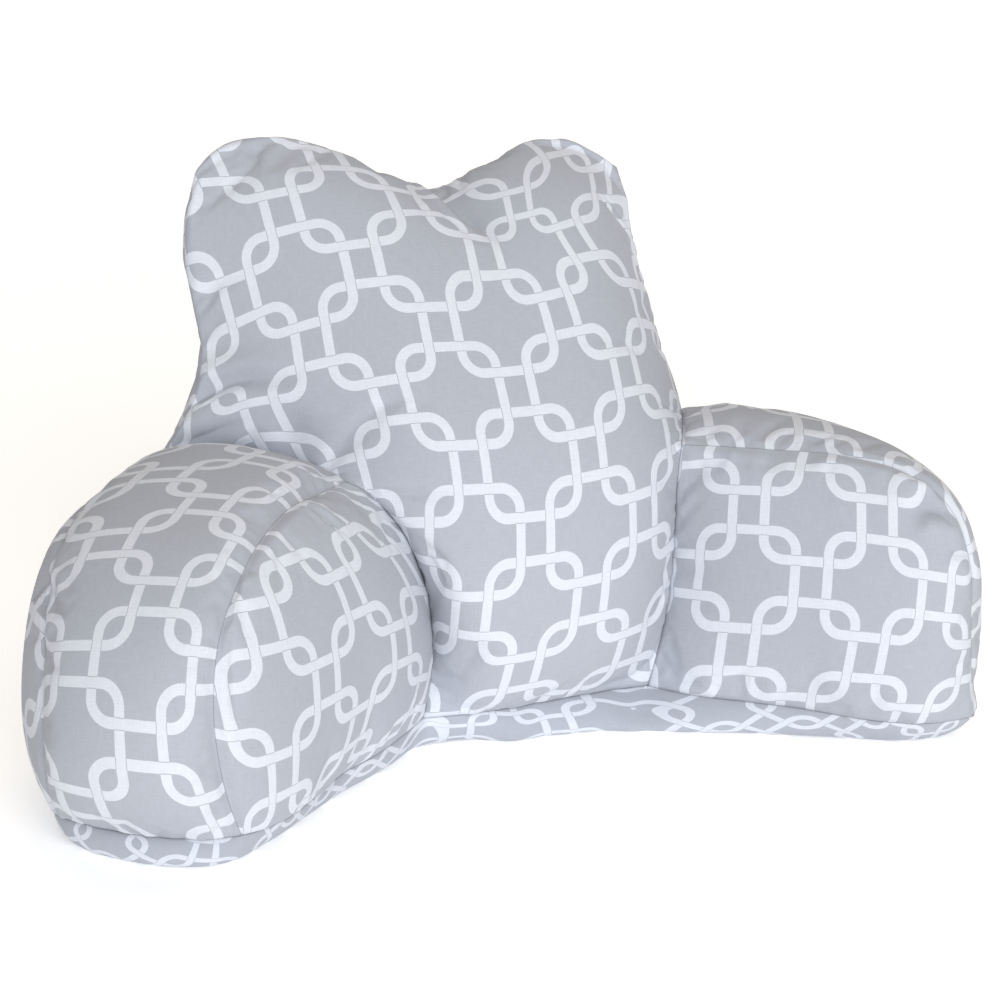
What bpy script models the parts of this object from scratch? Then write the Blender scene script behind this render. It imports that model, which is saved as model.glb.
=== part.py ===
"""Reading pillow with arms: a filled back rest with two rounded corners, two splayed arms and a base.

Every length is in millimetres in the tables and becomes metres when a solid is made. The pillow
faces -Y and stands on z = 0. "Left" is the side at -X. In the tables X = 0 is the middle of the
back's foot, and at the end the whole is moved so that its box is centred.
"""

import bmesh
import bpy
import numpy as np

MM = 0.001
GAP = 0.3

# Quads along each kind of seam
ARM_STEPS = 20
RISE_STEPS = 16
STRIP_STEPS = 10
SIDE_STEPS = 20
WIDTH_STEPS = 32

# How far the filling pushes each kind of panel out between its seams: (right, left)
INNER_ARM_CROWN = {1: 26, -1: 26}
STRIP_CROWN = {1: 11, -1: 24}
OUTER_ARM_CROWN = {1: 16, -1: 22}
BACK_CROWN = 20
REAR_CROWN = 12

# Share of an arm seam's length at which it turns down over the arm's end
TURN_SHARE = {1: 0.50, -1: 0.52}
# Share of a front column's length that lies beside the uprights, and beside uprights and valleys
UPRIGHT_SHARE = 0.40
VALLEY_SHARE = 0.585
REAR_ARM_SHARE = 0.52

FABRIC = (0.66, 0.68, 0.73, 1.0)
BASE_FABRIC = (0.58, 0.60, 0.66, 1.0)

# Seams of each side as (out from the middle, back, up)
RIGHT_SEAMS = {
    # from the inner corner of the arm and the back, along the arm's top and down its end
    "arm_inner": [(148, 22, 238), (198, -20, 240), (255, -70, 240), (290, -102, 231), (318, -126, 205),
                  (331, -138, 160), (334, -138, 110), (337, -136, 65), (345, -129, 24)],
    "arm_outer": [(194, 126, 234), (237, 103, 232), (280, 67, 223), (315, 33, 202), (337, 8, 172),
                  (349, -6, 133), (352, 0, 86), (362, 12, 24)],
    # where the arm's top strip meets the back
    "valley": [(148, 22, 238), (166, 58, 241), (182, 94, 239), (194, 126, 234)],
    # the upright seam between the back and the inside of the arm
    "upright": [(122, 27, 30), (136, 24, 90), (142, 22, 150), (144, 22, 200), (148, 22, 238)],
    # the side edge of the back above the arm
    "side": [(194, 126, 234), (192, 131, 252), (185, 138, 278), (178, 148, 318), (172, 168, 366),
             (174, 190, 403), (172, 205, 429)],
    # from the outside of the corner over its top to the dip in the middle
    "top": [(172, 205, 429), (152, 212, 443), (128, 217, 455), (106, 216, 454), (84, 212, 452),
            (64, 207, 446), (38, 202, 438), (14, 199, 430), (-8, 198, 422)],
    "foot_inner": [(122, 27, 30), (150, -8, 29), (182, -34, 28), (218, -64, 27), (256, -102, 25),
                   (296, -128, 24), (345, -129, 24)],
    "foot_end": [(345, -129, 24), (357, -100, 24), (363, -62, 24), (364, -25, 24), (362, 12, 24)],
    "foot_outer": [(362, 12, 24), (350, 58, 25), (328, 103, 26), (290, 144, 28), (235, 180, 30)],
    "rear": [(235, 180, 30), (238, 181, 90), (226, 166, 165), (194, 126, 234)],
    # not seams: the back's front and rear faces half way out from the middle
    "front_column": [(75, 30, 30), (84, 4, 75), (90, -5, 125), (94, -5, 180), (98, 8, 235), (101, 36, 285),
                     (105, 68, 332), (110, 102, 378), (116, 138, 420), (122, 178, 447), (128, 217, 455)],
    "rear_column": [(118, 207, 30), (122, 232, 90), (124, 245, 160), (124, 251, 240), (124, 254, 310),
                    (124, 253, 375), (125, 243, 430), (128, 217, 455)],
}
LEFT_SEAMS = {
    "arm_inner": [(148, 18, 244), (187, -18, 247), (222, -52, 251), (254, -84, 244), (294, -128, 220),
                  (320, -156, 185), (328, -166, 145), (323, -162, 95), (298, -141, 24)],
    "arm_outer": [(262, 140, 240), (314, 98, 237), (360, 54, 227), (392, 12, 208), (413, -28, 173),
                  (425, -56, 122), (428, -62, 75), (415, -46, 24)],
    "valley": [(148, 18, 244), (175, 78, 243), (215, 116, 244), (262, 140, 240)],
    "upright": [(79, 29, 30), (70, 30, 85), (76, 28, 140), (100, 23, 200), (148, 18, 244)],
    "side": [(262, 140, 240), (246, 138, 266), (231, 138, 293), (222, 148, 325), (222, 165, 358),
             (222, 183, 392), (214, 200, 426), (199, 219, 456)],
    "top": [(199, 219, 456), (172, 226, 475), (142, 228, 478), (118, 226, 474), (98, 223, 467),
            (80, 220, 459), (60, 215, 451), (36, 208, 437), (8, 198, 422)],
    "foot_inner": [(79, 29, 30), (113, -4, 29), (146, -30, 27), (178, -50, 26), (213, -84, 25),
                   (254, -121, 24), (298, -141, 24)],
    "foot_end": [(298, -141, 24), (338, -131, 24), (366, -112, 24), (393, -82, 24), (415, -46, 24)],
    "foot_outer": [(415, -46, 24), (398, 20, 25), (366, 82, 26), (315, 140, 28), (245, 185, 30)],
    "rear": [(245, 185, 30), (255, 184, 95), (262, 168, 170), (262, 140, 240)],
    "front_column": [(35, 25, 30), (52, 0, 75), (66, -9, 125), (78, -9, 180), (90, 6, 235), (102, 34, 285),
                     (110, 68, 332), (116, 104, 380), (124, 144, 426), (132, 188, 467), (142, 228, 478)],
    "rear_column": [(118, 209, 30), (122, 234, 90), (128, 247, 160), (130, 254, 240), (132, 259, 310),
                    (134, 260, 375), (137, 254, 440), (142, 228, 478)],
}
# Middle seams and columns as (x, y, z)
FOOT_FRONT = [(-79, 29, 30), (-40, 24, 30), (0, 24, 30), (45, 28, 30), (85, 30, 30), (122, 27, 30)]
FOOT_REAR = [(235, 180, 30), (150, 204, 30), (0, 212, 30), (-150, 207, 30), (-245, 185, 30)]
FRONT_MIDDLE = [(20, 24, 30), (18, -4, 75), (15, -16, 125), (12, -17, 180), (10, -2, 235), (8, 28, 285),
                (4, 64, 332), (0, 104, 374), (-4, 146, 406), (-7, 178, 419), (-8, 198, 422)]
REAR_MIDDLE = [(0, 212, 30), (0, 238, 90), (0, 252, 160), (0, 255, 240), (0, 250, 320), (0, 234, 385),
               (-8, 198, 422)]

# The base's rounded edge, seam to floor: (outward step, share of the seam's height)
BASE_ROWS = [(3, 0.62), (0, 0.25), (-8, 0.06), (-20, 0.0)]

# Folds that show from a step away. Each runs across a panel from one (across, up) place to the
# next, both as shares of the panel; depth is into the filling and width is half the fold's.
FOLDS = {
    "back": [
        {"line": [(0.50, 1.00), (0.56, 0.95), (0.61, 0.88)], "depth": 13, "width": 9},
        {"line": [(0.02, 0.60), (0.12, 0.62), (0.24, 0.63)], "depth": 6, "width": 9},
        {"line": [(0.03, 0.54), (0.12, 0.55), (0.22, 0.56)], "depth": 5, "width": 8},
    ],
    "inner_right": [
        {"line": [(1.00, 0.93), (0.88, 0.88), (0.78, 0.87)], "depth": 6, "width": 10},
    ],
}


def smooth_curve(points, steps=24, end_bend=1.0):
    """A smooth curve through the points. end_bend 0 makes it leave its ends straight."""
    points = np.array(points, float)
    lengths = np.linalg.norm(np.diff(points, axis=0), axis=1)
    ways = np.diff(points, axis=0) / lengths[:, None]
    tangents = np.zeros_like(points)
    weighted = ways[:-1] * lengths[1:, None] + ways[1:] * lengths[:-1, None]
    tangents[1:-1] = weighted / (lengths[1:] + lengths[:-1])[:, None]
    tangents[0] = ways[0] + end_bend * (ways[0] - tangents[1])
    tangents[-1] = ways[-1] + end_bend * (ways[-1] - tangents[-2])
    t = np.linspace(0, 1, steps, endpoint=False)[:, None]
    pieces = []
    for i, length in enumerate(lengths):
        pieces.append((2 * t**3 - 3 * t**2 + 1) * points[i] + (3 * t**2 - 2 * t**3) * points[i + 1]
                      + (t**3 - 2 * t**2 + t) * tangents[i] * length
                      + (t**3 - t**2) * tangents[i + 1] * length)
    return np.vstack(pieces + [points[-1:]])


def resample(curve, steps, start=0.0, end=1.0):
    """Even points along part of a curve, between two shares of its length."""
    run = np.concatenate([[0], np.cumsum(np.linalg.norm(np.diff(curve, axis=0), axis=1))])
    wanted = np.linspace(start, end, steps + 1) * run[-1]
    return np.stack([np.interp(wanted, run, curve[:, axis]) for axis in range(3)], 1)


def join(*curves):
    """One run of points from curves that follow each other."""
    return np.vstack([curves[0]] + [curve[1:] for curve in curves[1:]])


def patch(bottom, top, left, right):
    """The plain surface between four seams, as rows from bottom to top."""
    u = np.linspace(0, 1, len(bottom))[None, :, None]
    v = np.linspace(0, 1, len(left))[:, None, None]
    corners = ((1 - u) * (1 - v) * bottom[0] + u * (1 - v) * bottom[-1]
               + (1 - u) * v * top[0] + u * v * top[-1])
    return (1 - v) * bottom[None] + v * top[None] + (1 - u) * left[:, None] + u * right[:, None] - corners


def relax(grid, rounds=30):
    """Evens out the inside of a surface and keeps its rim."""
    grid = grid.copy()
    for _ in range(rounds):
        mean = (grid[:-2, 1:-1] + grid[2:, 1:-1] + grid[1:-1, :-2] + grid[1:-1, 2:]) / 4
        grid[1:-1, 1:-1] = (grid[1:-1, 1:-1] + mean) / 2
    return grid


def loft(columns, foot, top):
    """A surface through five columns that ends on its foot and top seams."""
    steps = WIDTH_STEPS // (len(columns) - 1)
    grid = np.stack([smooth_curve(row, steps, end_bend=0.3) for row in zip(*columns)])
    v = np.linspace(0, 1, len(grid))[:, None, None]
    grid += (1 - v)**3 * (foot - grid[0]) + v**3 * (top - grid[-1])
    return relax(grid)


def soft_normals(grid, rounds=6):
    """Directions across the surface, evened out over neighbours."""
    normals = np.cross(np.gradient(grid, axis=1), np.gradient(grid, axis=0))
    normals /= np.maximum(np.linalg.norm(normals, axis=2, keepdims=True), 1e-9)
    for _ in range(rounds):
        mixed = normals.copy()
        mixed[1:-1] += normals[:-2] + normals[2:]
        mixed[:, 1:-1] += normals[:, :-2] + normals[:, 2:]
        normals = mixed / np.linalg.norm(mixed, axis=2, keepdims=True)
    return normals


def swell(steps, first=0.5, last=0.5):
    """Fullness from 0 at a seam through 1 to 0. A power near 1 keeps an inside corner open."""
    t = np.linspace(0, 1, steps)
    return np.maximum(4 * t * (1 - t), 0)**(first * (1 - t) + last * t)


def fill_out(grid, height, across, up):
    """Pushes a panel out along its own direction. A negative height pushes the other way."""
    fullness = up[:, None] * across if across.ndim == 2 else up[:, None] * across[None]
    return grid + soft_normals(grid) * (height * fullness)[..., None]


def press_folds(grid, folds, inward):
    """Sinks folds into a panel along lines given as shares of the panel."""
    rows, columns = grid.shape[:2]
    normals = soft_normals(grid) * inward
    pushed = np.zeros((rows, columns))
    for fold in folds:
        line = np.array([grid[round(v * (rows - 1)), round(u * (columns - 1))] for u, v in fold["line"]])
        line = smooth_curve(line, 16)
        gaps = np.linalg.norm(grid[:, :, None] - line[None, None], axis=3)
        share = gaps.argmin(axis=2) / (len(line) - 1)
        fade = np.clip((1 - share) * 2.5, 0, 1)
        pushed += fold["depth"] * fade * np.exp(-(gaps.min(axis=2) / fold["width"])**2)
    row_edge = np.minimum(np.arange(rows), np.arange(rows)[::-1])
    column_edge = np.minimum(np.arange(columns), np.arange(columns)[::-1])
    pushed *= np.clip(row_edge / 4, 0, 1)[:, None] * np.clip(column_edge / 3, 0, 1)
    return grid + normals * pushed[..., None]


def side_seams(table, side):
    """One side's seams as smooth curves at their place."""
    return {name: smooth_curve(np.array(points, float) * (side, 1, 1)) for name, points in table.items()}


def arm_panels(seams, side):
    """The panels of one arm, by name, and the wall and foot that close its solid."""
    turn = TURN_SHARE[side]
    inner_top = resample(seams["arm_inner"], ARM_STEPS, 0, turn)
    inner_end = resample(seams["arm_inner"], RISE_STEPS, turn, 1)
    outer_top = resample(seams["arm_outer"], ARM_STEPS, 0, turn)
    outer_end = resample(seams["arm_outer"], RISE_STEPS, turn, 1)
    upright = resample(seams["upright"], RISE_STEPS)
    rear = resample(seams["rear"], RISE_STEPS)
    valley = resample(seams["valley"], STRIP_STEPS)
    foot_inner = resample(seams["foot_inner"], ARM_STEPS)
    foot_end = resample(seams["foot_end"], STRIP_STEPS)
    foot_outer = resample(seams["foot_outer"], ARM_STEPS)
    foot_wall = np.linspace(upright[0], rear[0], STRIP_STEPS + 1)

    inner = patch(foot_inner, inner_top, upright, inner_end[::-1])
    inner = fill_out(inner, side * INNER_ARM_CROWN[side],
                     swell(ARM_STEPS + 1, 1.4, 0.5), swell(RISE_STEPS + 1, 0.6, 0.5))
    strip = patch(valley, foot_end, join(inner_top, inner_end), join(outer_top, outer_end))
    along = np.linspace(0, 1, len(strip))
    ends = np.clip(along * 9, 0, 1)**0.7 * np.clip((1 - along) * 6, 0, 1)**0.75
    strip = fill_out(strip, -side * STRIP_CROWN[side], swell(STRIP_STEPS + 1, 0.55, 0.55), ends)
    outer = patch(foot_outer, outer_top[::-1], outer_end[::-1], rear)
    outer = fill_out(outer, side * OUTER_ARM_CROWN[side],
                     swell(ARM_STEPS + 1, 0.9, 0.5), swell(RISE_STEPS + 1, 0.7, 0.5))
    wall = patch(foot_wall, valley, upright, rear)
    foot = patch(foot_inner, foot_outer[::-1], foot_wall, foot_end)
    return {"inner": inner, "strip": strip, "outer": outer, "wall": wall, "foot": foot}


def back_panels(left, right, walls):
    """The front and rear panels of the back and the foot that closes its solid."""
    def front_rows(curve):
        return join(resample(curve, RISE_STEPS, 0, UPRIGHT_SHARE),
                    resample(curve, STRIP_STEPS, UPRIGHT_SHARE, VALLEY_SHARE),
                    resample(curve, SIDE_STEPS, VALLEY_SHARE, 1))

    def rear_rows(curve):
        return join(resample(curve, RISE_STEPS, 0, REAR_ARM_SHARE),
                    resample(curve, SIDE_STEPS, REAR_ARM_SHARE, 1))

    def front_edge(seams):
        return join(resample(seams["upright"], RISE_STEPS), resample(seams["valley"], STRIP_STEPS),
                    resample(seams["side"], SIDE_STEPS))

    def rear_edge(seams):
        return join(resample(seams["rear"], RISE_STEPS), resample(seams["side"], SIDE_STEPS))

    half = WIDTH_STEPS // 2
    top = join(resample(left["top"], half), resample(right["top"], half)[::-1])
    foot_front = resample(smooth_curve(FOOT_FRONT), WIDTH_STEPS)
    foot_rear = resample(smooth_curve(FOOT_REAR), WIDTH_STEPS)
    front = loft([front_edge(left), front_rows(left["front_column"]),
                  front_rows(smooth_curve(FRONT_MIDDLE)), front_rows(right["front_column"]),
                  front_edge(right)], foot_front, top)
    # the panel leaves the arms gently and the open side seams steeply
    rows = len(front)
    openness = np.clip((np.arange(rows) - RISE_STEPS - STRIP_STEPS / 2) / SIDE_STEPS, 0, 1)
    across = np.stack([swell(WIDTH_STEPS + 1, 1.5 - part, 1.5 - part) for part in openness])
    front = fill_out(front, BACK_CROWN, across, swell(rows, 0.6, 0.5))
    rear = loft([rear_edge(right), rear_rows(right["rear_column"]), rear_rows(smooth_curve(REAR_MIDDLE)),
                 rear_rows(left["rear_column"]), rear_edge(left)], foot_rear, top[::-1])
    rear = fill_out(rear, REAR_CROWN, swell(WIDTH_STEPS + 1), swell(len(rear)))
    foot = patch(foot_front, foot_rear[::-1], walls[-1][0], walls[1][0])
    return {"front": front, "rear": rear, "foot": foot}


def base_outline(front_foot, rear_foot, right_arm, left_arm):
    """The foot seam all round, once, and how far the base stands out under each part of it."""
    right = right_arm["foot"]
    left = left_arm["foot"]
    runs = [(front_foot, -8, 30), (right[0], 30, -22), (right[:, -1], -28, -12), (right[-1][::-1], -4, -4),
            (rear_foot, -4, -4), (left[-1], -4, 8), (left[::-1, -1], 8, -18), (left[0][::-1], -18, -8)]
    outline = np.vstack([run[:-1] for run, _, _ in runs])
    stand_out = np.concatenate([np.linspace(first, last, len(run))[:-1] for run, first, last in runs])
    return outline, blend_round(stand_out, 10)


def blend_round(values, rounds):
    """Evens out values that follow each other round a closed outline."""
    for _ in range(rounds):
        values = (np.roll(values, 1, 0) + 2 * values + np.roll(values, -1, 0)) / 4
    return values


def base_rows(outline, stand_out):
    """Rings from the foot seam round the base's edge to the floor."""
    along = np.roll(outline, -1, 0) - np.roll(outline, 1, 0)
    outward = np.stack([along[:, 1], -along[:, 0], 0 * along[:, 0]], 1)
    outward /= np.linalg.norm(outward, axis=1, keepdims=True)
    outward = blend_round(outward, 14)
    rows = [outline]
    for step, height in BASE_ROWS:
        row = outline + outward * (stand_out + step)[:, None]
        row[:, 2] = outline[:, 2] * height
        rows.append(row)
    return rows


class Solid:
    """A closed body put together from panels that share their seams."""

    def __init__(self):
        self.points = []
        self.index = {}
        self.faces = []

    def point(self, place):
        key = tuple(np.round(place, 4))
        if key not in self.index:
            self.index[key] = len(self.points)
            self.points.append(np.array(place, float))
        return self.index[key]

    def add_grid(self, grid, closed=False):
        """Adds a grid's quads and returns the numbers of its points."""
        numbers = np.array([[self.point(place) for place in row] for row in grid])
        if closed:
            numbers = np.hstack([numbers, numbers[:, :1]])
        for lower, upper in zip(numbers[:-1], numbers[1:]):
            for i in range(len(lower) - 1):
                face = [lower[i], lower[i + 1], upper[i + 1], upper[i]]
                face = [n for k, n in enumerate(face) if n != face[k - 1]]
                if len(set(face)) > 2:
                    self.faces.append(face)
        return set(numbers.ravel().tolist())

    def shift(self, numbers, way):
        for number in numbers:
            self.points[number] = self.points[number] + way

    def to_object(self, name, material):
        bm = bmesh.new()
        verts = [bm.verts.new(place * MM) for place in self.points]
        for face in self.faces:
            bm.faces.new([verts[number] for number in face])
        bmesh.ops.recalc_face_normals(bm, faces=bm.faces)
        bmesh.ops.triangulate(bm, faces=bm.faces, quad_method="BEAUTY", ngon_method="EAR_CLIP")
        mesh = bpy.data.meshes.new(name)
        bm.to_mesh(mesh)
        bm.free()
        mesh.shade_smooth()
        mesh.set_sharp_from_angle(angle=0.8)
        mesh.materials.append(material)
        obj = bpy.data.objects.new(name, mesh)
        bpy.context.collection.objects.link(obj)
        return obj


def fabric(name, color):
    """Matt cotton in the photo's grey."""
    material = bpy.data.materials.new(name)
    material.use_nodes = True
    shader = material.node_tree.nodes["Principled BSDF"]
    shader.inputs["Base Color"].default_value = color
    shader.inputs["Roughness"].default_value = 0.9
    shader.inputs["Metallic"].default_value = 0.0
    return material


def wall_way(wall, side):
    """The level direction across the wall between an arm and the back, towards the arm."""
    run = wall[0, -1] - wall[0, 0]
    way = np.array([run[1], -run[0], 0.0]) * side
    return way / np.linalg.norm(way)


def make_arm(name, panels, side, material):
    solid = Solid()
    for key in ("inner", "strip", "outer"):
        solid.add_grid(panels[key])
    wall = solid.add_grid(panels["wall"])
    foot = solid.add_grid(panels["foot"])
    solid.shift(wall, wall_way(panels["wall"], side) * GAP / 2)
    solid.shift(foot, np.array([0, 0, GAP / 2]))
    return solid.to_object(name, material)


def make_back(name, panels, arms, material):
    solid = Solid()
    solid.add_grid(panels["front"])
    solid.add_grid(panels["rear"])
    foot = solid.add_grid(panels["foot"])
    for side, arm in arms.items():
        wall = solid.add_grid(arm["wall"])
        solid.shift(wall, -wall_way(arm["wall"], side) * GAP / 2)
    solid.shift(foot, np.array([0, 0, GAP / 2]))
    return solid.to_object(name, material)


def make_base(name, back, arms, material):
    outline, stand_out = base_outline(back["front"][0], back["rear"][0], arms[1], arms[-1])
    rows = base_rows(outline, stand_out)
    solid = Solid()
    solid.add_grid(rows, closed=True)
    top = set()
    for panels in (back, arms[1], arms[-1]):
        top |= solid.add_grid(panels["foot"])
    solid.faces.append([solid.point(place) for place in rows[-1]])
    solid.shift(top, np.array([0, 0, -GAP / 2]))
    return solid.to_object(name, material)


def clear_scene():
    for obj in list(bpy.data.objects):
        bpy.data.objects.remove(obj, do_unlink=True)


def stand_in_the_middle(solids):
    """Moves the whole pillow so that the middle of its box's underside is the origin."""
    places = np.array([vertex.co for solid in solids for vertex in solid.data.vertices])
    low, high = places.min(0), places.max(0)
    shift = -(low + high) / 2
    shift[2] = -low[2]
    for solid in solids:
        for vertex in solid.data.vertices:
            vertex.co = np.array(vertex.co) + shift


def main():
    clear_scene()
    seams = {1: side_seams(RIGHT_SEAMS, 1), -1: side_seams(LEFT_SEAMS, -1)}
    arms = {side: arm_panels(seams[side], side) for side in (1, -1)}
    back = back_panels(seams[-1], seams[1], {side: arms[side]["wall"] for side in (1, -1)})
    back["front"] = press_folds(back["front"], FOLDS["back"], -1)
    arms[1]["inner"] = press_folds(arms[1]["inner"], FOLDS["inner_right"], -1)
    cover = fabric("printed_cotton", FABRIC)
    under = fabric("base_cotton", BASE_FABRIC)
    stand_in_the_middle([
        make_arm("arm_right", arms[1], 1, cover),
        make_arm("arm_left", arms[-1], -1, cover),
        make_back("back_rest", back, arms, cover),
        make_base("base_panel", back, arms, under),
    ])


main()
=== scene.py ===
"""Reading pillow with arms, dressed in its printed cotton cover.

The cover is cut and sewn here as the real one is: each panel lies between its seams, is filled out,
folded and blown up as cloth, and carries the print as flat cloth would. Lengths in the tables are
in millimetres, in the same frame as the seams of the solids before they are centred.
"""

import logging
import math
from dataclasses import dataclass
from enum import Enum

import bmesh
import bpy
import numpy as np
from mathutils import Matrix, Vector, noise


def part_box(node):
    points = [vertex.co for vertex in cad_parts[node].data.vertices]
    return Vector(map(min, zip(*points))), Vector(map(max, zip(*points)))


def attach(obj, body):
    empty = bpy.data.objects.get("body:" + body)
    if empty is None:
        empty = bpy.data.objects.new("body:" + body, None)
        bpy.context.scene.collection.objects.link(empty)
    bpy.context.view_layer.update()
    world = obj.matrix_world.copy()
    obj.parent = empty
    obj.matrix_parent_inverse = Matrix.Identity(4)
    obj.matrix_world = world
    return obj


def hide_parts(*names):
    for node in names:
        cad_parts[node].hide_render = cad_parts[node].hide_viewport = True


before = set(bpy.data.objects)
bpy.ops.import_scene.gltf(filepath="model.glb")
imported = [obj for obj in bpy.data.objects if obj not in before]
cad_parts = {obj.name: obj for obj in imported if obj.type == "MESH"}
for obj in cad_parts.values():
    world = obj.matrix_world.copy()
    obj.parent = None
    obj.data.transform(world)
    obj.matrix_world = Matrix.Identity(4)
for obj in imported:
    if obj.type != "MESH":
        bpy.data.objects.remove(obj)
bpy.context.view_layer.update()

LOG = logging.getLogger("reading_pillow")
MM = 0.001
WHITE = (1.0, 1.0, 1.0, 1.0)
Grid = np.ndarray
Curve = np.ndarray
Table = list[tuple[float, float, float]]


class Side(Enum):
    """A side of the pillow, as the sign of X there."""

    RIGHT = 1
    LEFT = -1


# ---------------------------------------------------------------- cutting table


@dataclass(frozen=True)
class Steps:
    """How many quads lie along each kind of seam.

    Args:
        arm: along the foot and the top of an arm.
        rise: up an upright seam or down an arm's end.
        strip: across the strip over an arm.
        side: up the open side of the back.
        width: across the back.
    """

    arm: int = 44
    rise: int = 36
    strip: int = 28
    side: int = 44
    width: int = 72


@dataclass(frozen=True)
class SideCut:
    """The seams of one side as (out from the middle, back, up), and how full its panels are.

    Args:
        side: which side of the pillow.
        arm_inner: from the back along the arm's inner top seam and down its end.
        arm_outer: the same for the outer seam.
        valley: where the arm's strip meets the back.
        upright: between the back and the inside of the arm.
        open_side: the side edge of the back above the arm.
        top: from the outside of the corner to the dip in the middle.
        foot_inner: the foot of the arm's inner panel.
        foot_end: the foot of the strip at the arm's end.
        foot_outer: the foot of the arm's outer panel.
        rear: between the rear panel and the arm's outer panel.
        front_column: the back's front face half way out.
        rear_column: the back's rear face half way out.
        turn: the share of an arm seam at which it turns down over the end.
        inner_crown: how far the inner panel stands out.
        strip_crown: how far the strip stands out.
        outer_crown: how far the outer panel stands out.
    """

    side: Side
    arm_inner: Table
    arm_outer: Table
    valley: Table
    upright: Table
    open_side: Table
    top: Table
    foot_inner: Table
    foot_end: Table
    foot_outer: Table
    rear: Table
    front_column: Table
    rear_column: Table
    turn: float
    inner_crown: float
    strip_crown: float
    outer_crown: float

    def curve(self, name: str) -> Curve:
        """One of the seams as a smooth curve in its place.

        Args:
            name: the seam's name.

        Returns:
            Points along the seam.
        """
        return smooth_curve(np.array(getattr(self, name), float) * (self.side.value, 1, 1))


RIGHT_CUT = SideCut(
    side=Side.RIGHT,
    arm_inner=[(148, 22, 238), (198, -20, 240), (255, -70, 240), (290, -102, 231), (318, -126, 205),
               (331, -138, 160), (334, -138, 110), (337, -136, 65), (345, -129, 24)],
    arm_outer=[(194, 126, 234), (237, 103, 232), (280, 67, 223), (315, 33, 202), (337, 8, 172),
               (349, -6, 133), (352, 0, 86), (362, 12, 24)],
    valley=[(148, 22, 238), (166, 58, 241), (182, 94, 239), (194, 126, 234)],
    upright=[(122, 27, 30), (136, 24, 90), (142, 22, 150), (144, 22, 200), (148, 22, 238)],
    open_side=[(194, 126, 234), (192, 131, 252), (185, 138, 278), (178, 148, 318), (172, 168, 366),
               (174, 190, 403), (172, 205, 429)],
    top=[(172, 205, 429), (152, 212, 443), (128, 217, 455), (106, 216, 454), (84, 212, 452),
         (64, 207, 446), (38, 202, 438), (14, 199, 430), (-8, 198, 422)],
    foot_inner=[(122, 27, 30), (150, -8, 29), (182, -34, 28), (218, -64, 27), (256, -102, 25),
                (296, -128, 24), (345, -129, 24)],
    foot_end=[(345, -129, 24), (357, -100, 24), (363, -62, 24), (364, -25, 24), (362, 12, 24)],
    foot_outer=[(362, 12, 24), (350, 58, 25), (328, 103, 26), (290, 144, 28), (235, 180, 30)],
    rear=[(235, 180, 30), (238, 181, 90), (226, 166, 165), (194, 126, 234)],
    front_column=[(75, 30, 30), (84, 4, 75), (90, -5, 125), (94, -5, 180), (98, 8, 235), (101, 36, 285),
                  (105, 68, 332), (110, 102, 378), (116, 138, 420), (122, 178, 447), (128, 217, 455)],
    rear_column=[(118, 207, 30), (122, 232, 90), (124, 245, 160), (124, 251, 240), (124, 254, 310),
                 (124, 253, 375), (125, 243, 430), (128, 217, 455)],
    turn=0.50,
    inner_crown=26,
    strip_crown=11,
    outer_crown=16,
)
LEFT_CUT = SideCut(
    side=Side.LEFT,
    arm_inner=[(148, 18, 244), (187, -18, 247), (222, -52, 251), (254, -84, 244), (294, -128, 220),
               (320, -156, 185), (328, -166, 145), (323, -162, 95), (298, -141, 24)],
    arm_outer=[(262, 140, 240), (314, 98, 237), (360, 54, 227), (392, 12, 208), (413, -28, 173),
               (425, -56, 122), (428, -62, 75), (415, -46, 24)],
    valley=[(148, 18, 244), (175, 78, 243), (215, 116, 244), (262, 140, 240)],
    upright=[(79, 29, 30), (70, 30, 85), (76, 28, 140), (100, 23, 200), (148, 18, 244)],
    open_side=[(262, 140, 240), (246, 138, 266), (231, 138, 293), (222, 148, 325), (222, 165, 358),
               (222, 183, 392), (214, 200, 426), (199, 219, 456)],
    top=[(199, 219, 456), (172, 226, 475), (142, 228, 478), (118, 226, 474), (98, 223, 467),
         (80, 220, 459), (60, 215, 451), (36, 208, 437), (8, 198, 422)],
    foot_inner=[(79, 29, 30), (113, -4, 29), (146, -30, 27), (178, -50, 26), (213, -84, 25),
                (254, -121, 24), (298, -141, 24)],
    foot_end=[(298, -141, 24), (338, -131, 24), (366, -112, 24), (393, -82, 24), (415, -46, 24)],
    foot_outer=[(415, -46, 24), (398, 20, 25), (366, 82, 26), (315, 140, 28), (245, 185, 30)],
    rear=[(245, 185, 30), (255, 184, 95), (262, 168, 170), (262, 140, 240)],
    front_column=[(35, 25, 30), (52, 0, 75), (66, -9, 125), (78, -9, 180), (90, 6, 235), (102, 34, 285),
                  (110, 68, 332), (116, 104, 380), (124, 144, 426), (132, 188, 467), (142, 228, 478)],
    rear_column=[(118, 209, 30), (122, 234, 90), (128, 247, 160), (130, 254, 240), (132, 259, 310),
                 (134, 260, 375), (137, 254, 440), (142, 228, 478)],
    turn=0.52,
    inner_crown=26,
    strip_crown=24,
    outer_crown=22,
)


# ---------------------------------------------------------------- curves and surfaces


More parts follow.
